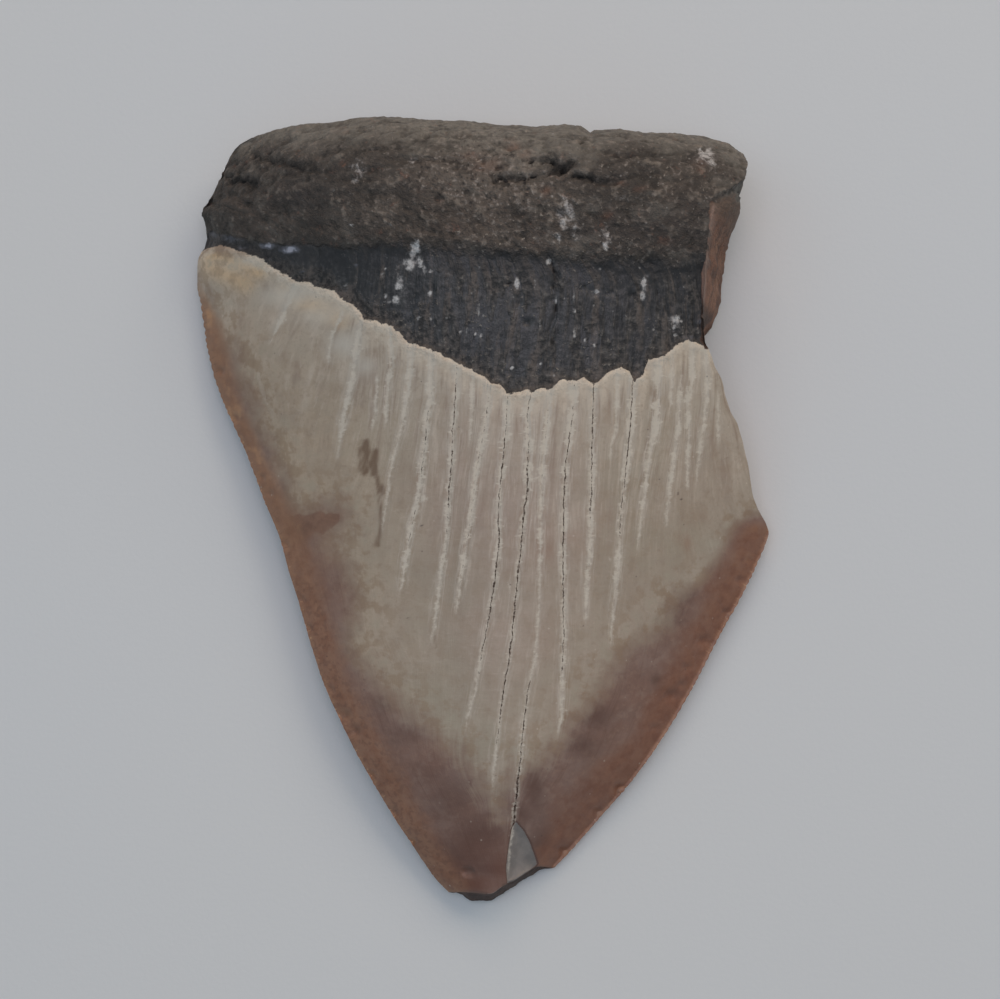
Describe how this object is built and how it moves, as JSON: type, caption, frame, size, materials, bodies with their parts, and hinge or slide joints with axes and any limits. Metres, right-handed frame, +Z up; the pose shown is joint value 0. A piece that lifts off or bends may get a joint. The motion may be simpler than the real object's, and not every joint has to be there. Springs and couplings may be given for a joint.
{
  "type": "megalodon tooth",
  "caption": "Fossil shark tooth with a thick worn root, a dark chevron band and a serrated triangular crown whose tip is broken; lies on its flat face.",
  "frame": {"origin": "under the middle of the tooth's footprint, on the plane it rests on", "axes": "+Y from the broken tip to the root, +Z up out of the convex lingual face, +X to the side with the broken shoulder"},
  "size_m": [0.0676, 0.091, 0.021],
  "materials": {
    "fossil_tooth": "satin"
  },
  "bodies": {
    "root": {"tooth": "fossil_tooth"}
  },
  "joints": []
}
